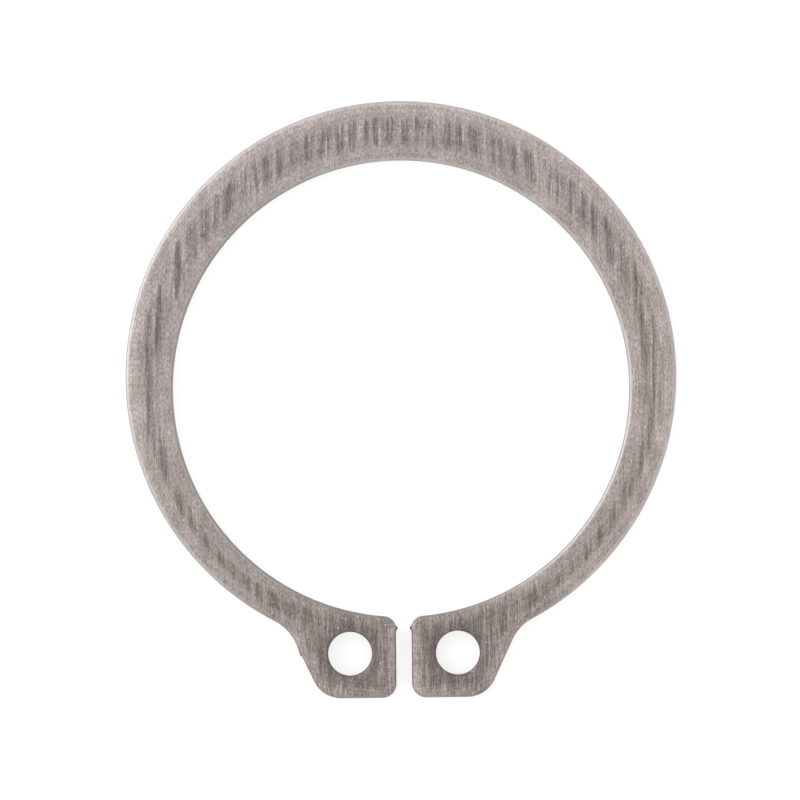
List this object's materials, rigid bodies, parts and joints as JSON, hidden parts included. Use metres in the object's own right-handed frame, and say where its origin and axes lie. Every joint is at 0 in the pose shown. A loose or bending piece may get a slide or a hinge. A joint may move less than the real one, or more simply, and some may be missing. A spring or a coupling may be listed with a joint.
{
  "type": "circlip retaining ring",
  "caption": "Flat open spring ring with a tapering band and a holed lug on each side of its gap; it snaps into a groove round a shaft and keeps what sits on the shaft from sliding off.",
  "frame": {"origin": "on the axis of the bore, at the ring's underside", "axes": "+Z along the bore's axis, out of the face with the rounder edges; the lugs and the gap point along -Y; X runs across the gap"},
  "size_m": [0.028, 0.0303, 0.0012],
  "materials": {
    "tumbled_stainless": "satin, tumbled after stamping, with the strip's rolling grain showing through in dull streaks"
  },
  "bodies": {
    "root": {"retaining_ring": "tumbled_stainless"}
  },
  "joints": []
}
